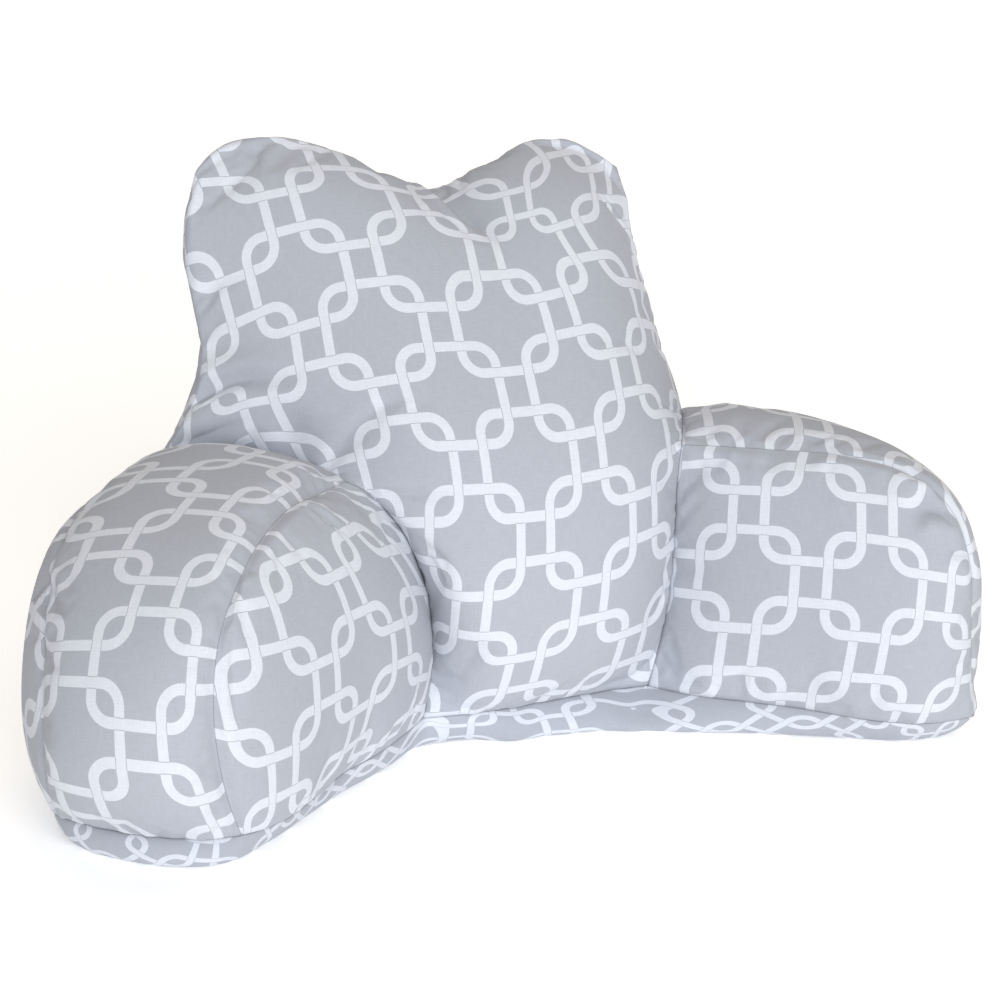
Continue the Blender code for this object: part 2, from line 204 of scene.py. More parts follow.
def smooth_curve(points: Grid, steps: int = 24, end_bend: float = 1.0) -> Curve:
    """A smooth curve through some points.

    Args:
        points: the points to pass through.
        steps: how many steps lie between two of them.
        end_bend: 0 makes the curve leave its ends straight.

    Returns:
        Points along the curve.
    """
    points = np.array(points, float)
    lengths = np.linalg.norm(np.diff(points, axis=0), axis=1)
    ways = np.diff(points, axis=0) / lengths[:, None]
    tangents = np.zeros_like(points)
    weighted = ways[:-1] * lengths[1:, None] + ways[1:] * lengths[:-1, None]
    tangents[1:-1] = weighted / (lengths[1:] + lengths[:-1])[:, None]
    tangents[0] = ways[0] + end_bend * (ways[0] - tangents[1])
    tangents[-1] = ways[-1] + end_bend * (ways[-1] - tangents[-2])
    t = np.linspace(0, 1, steps, endpoint=False)[:, None]
    pieces = []
    for i, length in enumerate(lengths):
        pieces.append((2 * t**3 - 3 * t**2 + 1) * points[i] + (3 * t**2 - 2 * t**3) * points[i + 1]
                      + (t**3 - 2 * t**2 + t) * tangents[i] * length
                      + (t**3 - t**2) * tangents[i + 1] * length)
    return np.vstack(pieces + [points[-1:]])


def resample(curve: Curve, steps: int, start: float = 0.0, end: float = 1.0) -> Curve:
    """Even points along part of a curve.

    Args:
        curve: the points of the curve.
        steps: how many steps to take.
        start: the share of its length to start at.
        end: the share of its length to end at.

    Returns:
        The new points.
    """
    run = np.concatenate([[0], np.cumsum(np.linalg.norm(np.diff(curve, axis=0), axis=1))])
    wanted = np.linspace(start, end, steps + 1) * run[-1]
    return np.stack([np.interp(wanted, run, curve[:, axis]) for axis in range(3)], 1)


def join(*curves: Curve) -> Curve:
    """One run of points from curves that follow each other."""
    return np.vstack([curves[0]] + [curve[1:] for curve in curves[1:]])


def patch(bottom: Curve, top: Curve, left: Curve, right: Curve) -> Grid:
    """The plain surface between four seams.

    Args:
        bottom: the lower seam, left to right.
        top: the upper seam, left to right.
        left: the left seam, bottom to top.
        right: the right seam, bottom to top.

    Returns:
        Rows of points from bottom to top.
    """
    u = np.linspace(0, 1, len(bottom))[None, :, None]
    v = np.linspace(0, 1, len(left))[:, None, None]
    corners = ((1 - u) * (1 - v) * bottom[0] + u * (1 - v) * bottom[-1]
               + (1 - u) * v * top[0] + u * v * top[-1])
    return (1 - v) * bottom[None] + v * top[None] + (1 - u) * left[:, None] + u * right[:, None] - corners


def relax(grid: Grid, rounds: int) -> Grid:
    """Evens out the inside of a surface and keeps its rim.

    Args:
        grid: the surface.
        rounds: how many times each point moves half way to its neighbours' mean.

    Returns:
        The new surface.
    """
    grid = grid.copy()
    for _ in range(rounds):
        mean = (grid[:-2, 1:-1] + grid[2:, 1:-1] + grid[1:-1, :-2] + grid[1:-1, 2:]) / 4
        grid[1:-1, 1:-1] = (grid[1:-1, 1:-1] + mean) / 2
    return grid


def loft(columns: list[Curve], foot: Curve, top: Curve, width: int) -> Grid:
    """A surface through a few columns that ends on its foot and top seams.

    Args:
        columns: the columns, left to right, with as many points each.
        foot: the lower seam.
        top: the upper seam.
        width: how many quads lie across.

    Returns:
        Rows of points from bottom to top.
    """
    steps = width // (len(columns) - 1)
    grid = np.stack([smooth_curve(row, steps, end_bend=0.3) for row in zip(*columns)])
    v = np.linspace(0, 1, len(grid))[:, None, None]
    grid += (1 - v)**3 * (foot - grid[0]) + v**3 * (top - grid[-1])
    return relax(grid, 120)


def soft_normals(grid: Grid, rounds: int = 14) -> Grid:
    """Directions across a surface, evened out over neighbours.

    Args:
        grid: the surface.
        rounds: how far they are evened out.

    Returns:
        One unit vector a point.
    """
    normals = np.cross(np.gradient(grid, axis=1), np.gradient(grid, axis=0))
    normals /= np.maximum(np.linalg.norm(normals, axis=2, keepdims=True), 1e-9)
    for _ in range(rounds):
        mixed = normals.copy()
        mixed[1:-1] += normals[:-2] + normals[2:]
        mixed[:, 1:-1] += normals[:, :-2] + normals[:, 2:]
        normals = mixed / np.linalg.norm(mixed, axis=2, keepdims=True)
    return normals


def swell(count: int, first: float = 0.5, last: float = 0.5) -> Grid:
    """Fullness from 0 at a seam through 1 to 0 at the other seam.

    Args:
        count: how many points.
        first: the power at the first seam. Near 1 keeps an inside corner open.
        last: the power at the last seam.

    Returns:
        One share a point.
    """
    t = np.linspace(0, 1, count)
    return np.maximum(4 * t * (1 - t), 0)**(first * (1 - t) + last * t)


def fill_out(grid: Grid, height: float, across: Grid, up: Grid) -> Grid:
    """Pushes a panel out between its seams.

    Args:
        grid: the panel.
        height: how far its middle moves. A negative height pushes the other way.
        across: the fullness across, for each column or for each point.
        up: the fullness of each row.

    Returns:
        The fuller panel.
    """
    fullness = up[:, None] * (across if across.ndim == 2 else across[None])
    return grid + soft_normals(grid) * (height * fullness)[..., None]


def refine(grid: Grid) -> Grid:
    """The same surface with twice as many quads each way. A seam depends only on its own points."""
    for axis in (0, 1):
        rows = np.moveaxis(grid, axis, 0)
        middle = (rows[:-1] + rows[1:]) / 2
        middle[1:-1] = (9 * (rows[1:-2] + rows[2:-1]) - rows[:-3] - rows[3:]) / 16
        finer = np.empty((2 * len(rows) - 1,) + rows.shape[1:])
        finer[::2] = rows
        finer[1::2] = middle
        grid = np.moveaxis(finer, 0, axis)
    return grid


def lay_flat(grid: Grid, rounds: int = 1000) -> Grid:
    """Lays a panel flat as its cloth was cut, by letting springs find their length.

    Args:
        grid: the panel in space.
        rounds: how often the springs move.

    Returns:
        The place of each point on flat cloth, in the grid's own unit.
    """
    rows, columns = grid.shape[:2]
    across = np.linalg.norm(np.diff(grid, axis=1), axis=2)
    up = np.linalg.norm(np.diff(grid, axis=0), axis=2)
    flat = np.zeros((rows, columns, 2))
    flat[:, 1:, 0] = np.cumsum(across, axis=1)
    flat[1:, :, 1] = np.cumsum(up, axis=0)
    flat[..., 0] -= flat[:, columns // 2, 0][:, None]
    springs = []
    spans = ((0, 1), (1, 0), (1, 1), (1, -1), (0, 3), (3, 0))
    haste = 1.4
    for down, over in spans:
        first = (slice(0, rows - down), slice(max(0, -over), columns - max(0, over)))
        second = (slice(down, rows), slice(max(0, over), columns + min(0, over)))
        springs.append((first, second, np.linalg.norm(grid[second] - grid[first], axis=2)))
    for _ in range(rounds):
        move = np.zeros_like(flat)
        count = np.zeros((rows, columns, 1))
        for first, second, length in springs:
            way = flat[second] - flat[first]
            now = np.maximum(np.linalg.norm(way, axis=2), 1e-6)
            pull = way * ((now - length) / now * 0.5)[..., None]
            move[first] += pull
            move[second] -= pull
            count[first] += 1
            count[second] += 1
        flat += move / count * haste
    return flat


# ---------------------------------------------------------------- panels


@dataclass(frozen=True)
class Laid:
    """How the printed cloth lies on a panel. Sewing and filling pull it a little off its grain.

    Lengths are in hundreds of millimetres from the middle. Each pull is (by x, by y, by x squared,
    by x times y, by y squared, by x cubed, by x squared times y, by x times y squared).

    Args:
        turned: True where the panel is cut with the print a quarter turn round.
        middle: the place on the flat panel that the pulls are counted from.
        start: the place on the printed cloth that lies there.
        across: the pulls that move the print across the cloth.
        along: the pulls that move the print along the cloth.
        gathers: (x, y, shift across, shift along) where the cloth is gathered, each fading over reach.
        reach: how far a gather reaches.
    """

    turned: bool = False
    middle: tuple[float, float] = (0.0, 0.0)
    start: tuple[float, float] = (0.0, 0.0)
    across: tuple[float, ...] = (1.0, 0.0)
    along: tuple[float, ...] = (0.0, 1.0)
    gathers: tuple[tuple[float, float, float, float], ...] = ()
    reach: float = 0.5

    def place(self, flat: Grid, facing: int) -> Grid:
        """Cloth places of a flat panel.

        Args:
            flat: the flat panel, in millimetres.
            facing: 1 if its columns run to the right as seen from outside, else -1.

        Returns:
            Places on the printed cloth, in metres.
        """
        cloth = flat * (facing, 1) / 100
        if self.turned:
            cloth = np.stack([cloth[..., 1], -cloth[..., 0]], -1)
        x, y = np.moveaxis(cloth - np.array(self.middle), -1, 0)
        terms = (x, y, x * x, x * y, y * y, x**3, x * x * y, x * y * y)
        pulled = [sum(pull * term for pull, term in zip(pulls, terms))
                  for pulls in (self.across, self.along)]
        laid = np.stack(pulled, -1) + np.array(self.start)
        for at_x, at_y, across, along in self.gathers:
            fade = np.exp(-((x - at_x)**2 + (y - at_y)**2) / self.reach**2)
            laid += fade[..., None] * (across, along)
        return laid * 0.1


FOLD_SHOULDER = 1.9  # where the cloth stands highest beside a fold, in its half widths
FOLD_FADE = 14.0  # how far from a seam a fold reaches its full depth, in millimetres


@dataclass(frozen=True)
class Fold:
    """A fold pressed into a panel.

    Args:
        line: places along the fold as (across, up) shares of the panel.
        depth: how deep it is at its start, in millimetres. A negative depth makes a ridge.
        width: half its width, in millimetres.
        ridge: how high the cloth stands beside it, as a share of the depth.
        tail: how fast it fades towards its far end.
        lean: how many times wider it is on its right side, seen along its line.
    """

    line: tuple[tuple[float, float], ...]
    depth: float
    width: float
    ridge: float = 0.35
    tail: float = 2.5
    lean: float = 1.0


@dataclass(frozen=True)
class Puckers:
    """Small gathers that run away from a panel's seams.

    Args:
        height: how high they are, in millimetres.
        length: how far apart they are along the seam, in millimetres.
        reach: how far they run into the panel, in millimetres.
        seed: where their pattern starts.
        waves: the waves that they are made of, as (times finer than length, share of the height).
        uneven: how long their stronger and weaker stretches are, in millimetres.
        rim: how wide the smooth strip beside a seam is, in millimetres.
        groove: how deep the seam lies between its panels, in millimetres.
        groove_width: how far the groove reaches from the seam, in millimetres.
    """

    height: float = 1.98
    length: float = 17.0
    reach: float = 16.0
    seed: float = 0.0
    waves: tuple[tuple[float, float], ...] = ((1.0, 0.6), (1.9, 0.4))
    uneven: float = 70.0
    rim: float = 3.0
    groove: float = 1.0
    groove_width: float = 3.5


SIDE_PHASE = 9.1  # how far apart in the noise the gathers of two sides are
SEED_PHASE = 3.7  # how far apart those of two panels are
SPREAD = 0.35  # how much the gathers change over their reach
WEAKEST = 0.45  # the share of the height that the weakest gathers keep


@dataclass
class Panel:
    """One cut of cloth between its seams.

    Args:
        grid: its points in space, rows from bottom to top, in millimetres.
        facing: 1 if du x dv points out of the pillow, else -1.
        laid: how the print lies on it.
        folds: its folds.
        puckers: its small gathers, or None on a hidden panel.
        hidden: True for a wall inside the pillow, which isn't blown up.
    """

    grid: Grid
    facing: int = 1
    laid: Laid = Laid()
    folds: tuple[Fold, ...] = ()
    puckers: Puckers | None = None
    hidden: bool = False

    def fold(self, grid: Grid) -> Grid:
        """Presses the folds into a grid of this panel.

        Args:
            grid: the panel's points.

        Returns:
            The folded points.
        """
        if not self.folds:
            return grid
        rows, columns = grid.shape[:2]
        ways = soft_normals(grid) * self.facing
        sunk = np.zeros((rows, columns))
        for fold in self.folds:
            marks = [(v * (rows - 1), u * (columns - 1)) for u, v in fold.line]
            line = smooth_curve(np.array([grid[round(v), round(u)] for v, u in marks]), 24)
            gaps = np.linalg.norm(grid[:, :, None] - line[None, None], axis=3)
            nearest = gaps.argmin(axis=2)
            share = nearest / (len(line) - 1)
            ahead = np.gradient(line, axis=0)[nearest]
            turn = np.einsum("ijk,ijk->ij", np.cross(ahead, grid - line[nearest]), ways)
            near = gaps.min(axis=2) / (fold.width * np.where(turn < 0, fold.lean, 1.0))
            profile = np.exp(-near**2) - fold.ridge * np.exp(-(near - FOLD_SHOULDER)**2)
            sunk += fold.depth * np.clip((1 - share) * fold.tail, 0, 1) * profile
        sunk *= np.clip(seam_distance(grid) / FOLD_FADE, 0, 1)
        return grid - ways * sunk[..., None]

    def pucker(self, grid: Grid) -> Grid:
        """Gathers the cloth along the panel's seams.

        Args:
            grid: the panel's points.

        Returns:
            The gathered points.
        """
        if self.puckers is None:
            return grid
        make = self.puckers
        along, up = edge_ways(grid)
        lift = np.zeros(grid.shape[:2])
        sides = ((along, up), (along[:, -1:] - along, up), (up, along), (up[-1:] - up, along))
        for side, (away, run) in enumerate(sides, 1):
            waves = np.zeros_like(lift)
            for finer, share in make.waves:
                places = run / make.length * finer + SIDE_PHASE * side + SEED_PHASE * make.seed
                waves += share * wave_noise(places, away / make.reach * SPREAD + 5 * finer)
            strength = np.abs(wave_noise(run / make.uneven + 4 * side + make.seed, 0 * run))
            fade = np.exp(-(away / make.reach)**1.2) * (1 - np.exp(-away / make.rim))
            lift += waves * (WEAKEST + (1 - WEAKEST) * strength) * fade
        rim = seam_distance(grid)
        lift *= make.height * np.clip(rim / make.rim, 0, 1)
        lift += make.groove * (1 - np.exp(-rim / make.groove_width))
        return grid + soft_normals(grid, 8) * (self.facing * lift)[..., None]


def wave_noise(first: Grid, second: Grid) -> Grid:
    """Smooth waves of about -1 to 1 over two coordinates, the same each run.

    Args:
        first: the coordinate that the waves run along.
        second: the coordinate over which they change slowly.

    Returns:
        One value a place.
    """
    level, gain = 0.37, 1.6
    spots = zip(first.ravel().tolist(), second.ravel().tolist())
    return np.array([noise.noise((a, b, level)) for a, b in spots]).reshape(first.shape) * gain


# ---------------------------------------------------------------- sewing


@dataclass(frozen=True)
class Filling:
    """How a sewn piece is blown up as cloth.

    Args:
        pressure: the push of the filling.
        spare: how much larger the cloth is than the form.
        cap: the furthest a point moves, in millimetres.
        frames: how long it settles.
        bending: how stiff the cloth is to bend.
    """

    pressure: float = 4.0
    spare: float = 0.025
    cap: float = 5.0
    frames: int = 20
    bending: float = 0.6


@dataclass
class Sewing:
    """Sews panels into one closed piece, blows it up and lays the print on it.

    Args:
        name: the piece's name.
        panels: its panels. Panels that meet share the points of their seam.
        filling: how it is blown up.
    """

    name: str
    panels: list[Panel]
    filling: Filling

    def settle(self) -> None:
        """Blows the piece up as cloth held at its seams, and keeps the result in the panels."""
        piece = weave_piece(self.name + "_form", [(panel.grid, None) for panel in self.panels], weld=False)
        held = []
        for panel in self.panels:
            fixed = np.ones(panel.grid.shape[:2], bool)
            fixed[1:-1, 1:-1] = panel.hidden
            held += fixed.ravel().tolist()
        before = points_of(piece.data)
        flip_inward_faces(piece.data, self.panels)
        after = blow_up(piece, np.nonzero(held)[0].tolist(), self.filling)
        bpy.data.objects.remove(piece, do_unlink=True)
        move = after - before
        length = np.linalg.norm(move, axis=1, keepdims=True)
        cap = self.filling.cap
        after = before + move * np.tanh(length / cap) * cap / np.maximum(length, 1e-6)
        LOG.info("%s: cloth moved %.1f mm at most, %.1f mm on average",
                 self.name, length.max(), length.mean())
        ends = np.cumsum([panel.grid[..., 0].size for panel in self.panels])[:-1]
        for panel, places in zip(self.panels, np.split(after, ends)):
            panel.grid = places.reshape(panel.grid.shape)

    def make(self) -> bpy.types.Object:
        """Makes the finished piece's object, with the cloth's places as its UV map."""
        cloths = []
        for panel in self.panels:
            flat = lay_flat(panel.grid, 1 if panel.hidden else 1000)
            cloths.append(panel.laid.place(flat, panel.facing))
        for panel in self.panels:
            panel.grid = panel.fold(panel.grid)
        self.settle()
        parts = []
        for panel, cloth in zip(self.panels, cloths):
            parts.append((panel.pucker(refine(panel.grid)), refine(cloth)))
        return weave_piece(self.name, parts, weld=True)


def points_of(mesh: bpy.types.Mesh) -> Grid:
    """A mesh's points in millimetres."""
    places = np.empty(len(mesh.vertices) * 3)
    mesh.vertices.foreach_get("co", places)
    return places.reshape(-1, 3) / MM


def flip_inward_faces(mesh: bpy.types.Mesh, panels: list[Panel]) -> None:
    """Turns the faces of panels whose rows run the other way, so that all face out."""
    sheet = bmesh.new()
    sheet.from_mesh(mesh)
    sheet.faces.ensure_lookup_table()
    start = 0
    for panel in panels:
        count = (panel.grid.shape[0] - 1) * (panel.grid.shape[1] - 1)
        if panel.facing < 0:
            bmesh.ops.reverse_faces(sheet, faces=sheet.faces[start:start + count])
        start += count
    sheet.to_mesh(mesh)
    sheet.free()


def add_panel(sheet: bmesh.types.BMesh, grid: Grid, cloth: Grid | None) -> None:
    """Adds a panel to a bmesh as a grid in its place.

    Args:
        sheet: the bmesh.
        grid: the panel's points, in millimetres.
        cloth: its places on the printed cloth, or None.
    """
    rows, columns = grid.shape[:2]
    verts = bmesh.ops.create_grid(sheet, x_segments=columns - 1, y_segments=rows - 1, size=0.5)["verts"]
    marks = {vert: (round((vert.co.y + 0.5) * (rows - 1)), round((vert.co.x + 0.5) * (columns - 1)))
             for vert in verts}
    places = (grid * MM).tolist()
    for vert, (row, column) in marks.items():
        vert.co = places[row][column]
    if cloth is not None:
        # each point's distance to its nearest seam, which the cloth reads to paint shade along the seams
        away = (seam_distance(grid) * MM).tolist()
        seam = sheet.verts.layers.float["seam"]
        for vert, (row, column) in marks.items():
            vert[seam] = away[row][column]
        layer = sheet.loops.layers.uv.verify()
        spots = cloth.tolist()
        faces = {face for vert in verts for face in vert.link_faces}
        for face in faces:
            for loop in face.loops:
                row, column = marks[loop.vert]
                loop[layer].uv = spots[row][column]


def edge_ways(grid: Grid) -> tuple[Grid, Grid]:
    """Lengths along the rows and up the columns of a grid."""
    along = np.zeros(grid.shape[:2])
    up = np.zeros(grid.shape[:2])
    along[:, 1:] = np.cumsum(np.linalg.norm(np.diff(grid, axis=1), axis=2), axis=1)
    up[1:] = np.cumsum(np.linalg.norm(np.diff(grid, axis=0), axis=2), axis=0)
    return along, up


def seam_distance(grid: Grid) -> Grid:
    """How far each point of a panel is from a seam, in millimetres. A ring has one, at its top."""
    along, up = edge_ways(grid)
    if np.allclose(grid[:, 0], grid[:, -1]):
        return up[-1:] - up
    return np.minimum(np.minimum(along, along[:, -1:] - along), np.minimum(up, up[-1:] - up))


def weave_piece(name: str, parts: list[tuple[Grid, Grid | None]], weld: bool) -> bpy.types.Object:
    """Makes one object of several panels.

    Args:
        name: the object's name.
        parts: each panel's points and cloth places.
        weld: True to sew the panels together and turn all faces outwards.

    Returns:
        The object, linked to the scene.
    """
    sheet = bmesh.new()
    sheet.verts.layers.float.new("seam")
    sheet.loops.layers.uv.verify()
    for grid, cloth in parts:
        add_panel(sheet, grid, cloth)
    if weld:
        bmesh.ops.remove_doubles(sheet, verts=sheet.verts, dist=0.00002)
        bmesh.ops.recalc_face_normals(sheet, faces=sheet.faces)
    for face in sheet.faces:
        face.smooth = True
    return place_mesh(name, sheet)


def place_mesh(name: str, sheet: bmesh.types.BMesh) -> bpy.types.Object:
    """Turns a bmesh into an object of the scene."""
    mesh = bpy.data.meshes.new(name)
    sheet.to_mesh(mesh)
    sheet.free()
    piece = bpy.data.objects.new(name, mesh)
    bpy.context.collection.objects.link(piece)
    return piece


def blow_up(piece: bpy.types.Object, held: list[int], filling: Filling) -> Grid:
    """Lets the cloth settle round its filling.

    Args:
        piece: the sewn form.
        held: the points that its seams hold.
        filling: how it is blown up.

    Returns:
        The settled points in millimetres.
    """
    group = piece.vertex_groups.new(name="seams")
    group.add(held, 1.0, "REPLACE")
    cloth = piece.modifiers.new("filling", "CLOTH")
    settings = {"quality": 5, "mass": 0.3, "tension_stiffness": 15, "compression_stiffness": 15,
                "shear_stiffness": 8, "bending_stiffness": filling.bending, "tension_damping": 8,
                "use_pressure": True, "uniform_pressure_force": filling.pressure,
                "shrink_min": -filling.spare, "vertex_group_mass": group.name}
    for key, value in settings.items():
        setattr(cloth.settings, key, value)
    cloth.settings.effector_weights.gravity = 0.0
    cloth.point_cache.frame_start = 1
    cloth.point_cache.frame_end = filling.frames
    scene = bpy.context.scene
    for number in range(1, filling.frames + 1):
        scene.frame_set(number)
    settled = piece.evaluated_get(bpy.context.evaluated_depsgraph_get())
    after = points_of(settled.data)
    piece.modifiers.remove(cloth)
    scene.frame_set(1)
    return after


# ---------------------------------------------------------------- finishes


@dataclass
class Nodes:
    """Builds the sums of a shader node tree.

    Args:
        tree: the node tree to build in.
    """

    tree: bpy.types.NodeTree

    def new(self, kind: str, feeds: dict | None = None, **fields: object) -> bpy.types.Node:
        """Adds a node.

        Args:
            kind: the node's type.
            feeds: what goes into its inputs, by name or number.
            fields: its own settings.

        Returns:
            The node.
        """
        node = self.tree.nodes.new(kind)
        for key, value in fields.items():
            setattr(node, key, value)
        self.fill(node, feeds or {})
        return node

    def fill(self, node: bpy.types.Node, feeds: dict) -> None:
        """Feeds some of a node's inputs, by name or number."""
        for key, value in feeds.items():
            self.feed(node.inputs[key], value)

    def feed(self, socket: bpy.types.NodeSocket, value: object) -> None:
        """Links a socket to another, or sets its value."""
        if isinstance(value, bpy.types.NodeSocket):
            self.tree.links.new(value, socket)
        else:
            socket.default_value = value

    def math(self, operation: str, *values: object, clamp: bool = False) -> bpy.types.NodeSocket:
        """A sum of up to three values.

        Args:
            operation: the Math node's operation.
            values: sockets or numbers.
            clamp: True to keep the result between 0 and 1.

        Returns:
            The result's socket.
        """
        node = self.new("ShaderNodeMath", dict(enumerate(values)), operation=operation, use_clamp=clamp)
        return node.outputs[0]

    def step(self, value: object, edge: float, soft: float) -> bpy.types.NodeSocket:
        """1 where a value is under an edge, 0 where it is over, with a soft change between."""
        feeds = {"Value": value, "From Min": edge - soft, "From Max": edge + soft,
                 "To Min": 1.0, "To Max": 0.0}
        return self.new("ShaderNodeMapRange", feeds, interpolation_type="SMOOTHSTEP").outputs["Result"]

    def mix(self, share: object, first: object, second: object) -> bpy.types.NodeSocket:
        """A colour between two, by a share from 0 to 1."""
        return self.new("ShaderNodeMix", {0: share, 6: first, 7: second}, data_type="RGBA").outputs[2]


def new_group(name: str, takes: dict[str, str], gives: dict[str, str]) -> tuple[Nodes, dict, dict]:
    """Starts a node group.

    Args:
        name: the group's name.
        takes: its inputs by name, as socket kinds.
        gives: its outputs by name, as socket kinds.

    Returns:
        The tree's builder, its input sockets and its output sockets by name.
    """
    tree = bpy.data.node_groups.new(name, "ShaderNodeTree")
    for key, kind in takes.items():
        tree.interface.new_socket(key, in_out="INPUT", socket_type=kind)
    for key, kind in gives.items():
        tree.interface.new_socket(key, in_out="OUTPUT", socket_type=kind)
    start = tree.nodes.new("NodeGroupInput")
    end = tree.nodes.new("NodeGroupOutput")
    return Nodes(tree), {s.name: s for s in start.outputs}, {s.name: s for s in end.inputs}


def new_material(name: str) -> tuple[bpy.types.Material, Nodes, bpy.types.Node]:
    """Starts a material, and returns it with its tree's builder and its shader."""
    material = bpy.data.materials.new(name)
    material.use_nodes = True
    return material, Nodes(material.node_tree), material.node_tree.nodes["Principled BSDF"]


@dataclass(frozen=True)
class LinkPrint:
    """The printed repeat: square rounded links, each woven through its four neighbours.

    Args:
        half_across: half the repeat across the cloth, in metres.
        half_along: half the repeat along the cloth, in metres.
        half_link: half a link's width to the middle of its band, in metres.
        corner: the radius of the middle of its band at a corner, in metres.
        half_band: half the band's width, in metres.
        line: half the width of the thin line beside an upper band, in metres.
        soft: half the width over which a band's edge blurs, in metres.
        line_soft: the same for the thin line.
    """

    half_across: float = 0.0547
    half_along: float = 0.0581
    half_link: float = 0.041
    corner: float = 0.017
    half_band: float = 0.00415
    line: float = 0.00028
    soft: float = 0.0002
    line_soft: float = 0.00016

    def ring(self, nodes: Nodes, x: object, y: object, shift: float) -> tuple[object, object]:
        """One of the two sets of links.

        Args:
            nodes: the builder of the tree.
            x: the place across the cloth.
            y: the place along the cloth.
            shift: 0 for the first set, 0.5 for the set between them.

        Returns:
            The distance from the middle of the nearest link's band, and 1 where that band lies on top.
        """
        local = []
        for value, pitch in ((x, 2 * self.half_across), (y, 2 * self.half_along)):
            turns = nodes.math("ADD", nodes.math("DIVIDE", value, pitch), 0.5 + shift)
            centred = nodes.math("SUBTRACT", nodes.math("FRACT", turns), 0.5)
            local.append(nodes.math("MULTIPLY", centred, pitch))
        wide, tall = (nodes.math("ABSOLUTE", value) for value in local)
        inner = self.half_link - self.corner
        over_x, over_y = (nodes.math("SUBTRACT", value, inner) for value in (wide, tall))
        out_x, out_y = (nodes.math("MAXIMUM", value, 0.0) for value in (over_x, over_y))
        square = nodes.math("MULTIPLY_ADD", out_x, out_x, nodes.math("MULTIPLY", out_y, out_y))
        outside = nodes.math("SQRT", square)
        inside = nodes.math("MINIMUM", nodes.math("MAXIMUM", over_x, over_y), 0.0)
        away = nodes.math("SUBTRACT", nodes.math("ADD", outside, inside), self.corner)
        same = nodes.math("GREATER_THAN", nodes.math("MULTIPLY", local[0], local[1]), 0.0)
        level = nodes.math("GREATER_THAN", tall, wide)
        return nodes.math("ABSOLUTE", away), nodes.math("COMPARE", same, level, 0.1)

    def build(self) -> bpy.types.NodeTree:
        """Makes the print's node group, with the masks of its bands and of its thin lines."""
        nodes, takes, gives = new_group("link_print", {"Cloth": "NodeSocketVector"},
                                        {"Band": "NodeSocketFloat", "Line": "NodeSocketFloat"})
        place = nodes.new("ShaderNodeSeparateXYZ", {0: takes["Cloth"]})
        first, on_top = self.ring(nodes, place.outputs[0], place.outputs[1], 0.0)
        second, _ = self.ring(nodes, place.outputs[0], place.outputs[1], 0.5)
        bands = [nodes.step(away, self.half_band, self.soft) for away in (first, second)]
        nodes.feed(gives["Band"], nodes.math("MAXIMUM", *bands))
        lines = []
        for away, under in ((first, bands[1]), (second, bands[0])):
            rim = nodes.math("ABSOLUTE", nodes.math("SUBTRACT", away, self.half_band))
            lines.append(nodes.math("MULTIPLY", nodes.step(rim, self.line, self.line_soft), under))
        upper = nodes.math("MULTIPLY", lines[0], on_top)
        lower = nodes.math("MULTIPLY", lines[1], nodes.math("SUBTRACT", 1.0, on_top))
        nodes.feed(gives["Line"], nodes.math("ADD", upper, lower, clamp=True))
        return nodes.tree


@dataclass(frozen=True)
class PlainWeave:
    """Plain-woven cotton: fine threads over and under, thicker and thinner along their length.

    Args:
        thread: the distance between two threads, in metres.
        slub: the length of a thicker stretch of thread, in metres.
    """

    thread: float = 0.00042
    slub: float = 0.011

    def streaks(self, nodes: Nodes, cloth: object, across: tuple[float, float]) -> bpy.types.NodeSocket:
        """Noise drawn out along the threads of one direction."""
        turn = nodes.new("ShaderNodeMapping", {"Vector": cloth, "Scale": (1 / across[0], 1 / across[1], 1.0)})
        feeds = {"Vector": turn.outputs[0], "Scale": 1.0, "Detail": 2.0}
        return nodes.new("ShaderNodeTexNoise", feeds, noise_dimensions="2D").outputs[0]

    def build(self) -> bpy.types.NodeTree:
        """Makes the weave's node group, with its height and its lighter and darker threads."""
        nodes, takes, gives = new_group("plain_weave", {"Cloth": "NodeSocketVector"},
                                        {"Height": "NodeSocketFloat", "Tone": "NodeSocketFloat"})
        place = nodes.new("ShaderNodeSeparateXYZ", {0: takes["Cloth"]})
        turns = math.pi / self.thread
        waves = [nodes.math("SINE", nodes.math("MULTIPLY", axis, turns)) for axis in place.outputs[:2]]
        woven = nodes.math("MULTIPLY", waves[0], waves[1])
        warp = self.streaks(nodes, takes["Cloth"], (self.thread * 2, self.slub))
        weft = self.streaks(nodes, takes["Cloth"], (self.slub, self.thread * 2))
        both = nodes.math("ADD", warp, weft)
        nodes.feed(gives["Tone"], nodes.math("MULTIPLY", both, 0.5))
        nodes.feed(gives["Height"], nodes.math("ADD", nodes.math("MULTIPLY", woven, 0.35), both))
        return nodes.tree


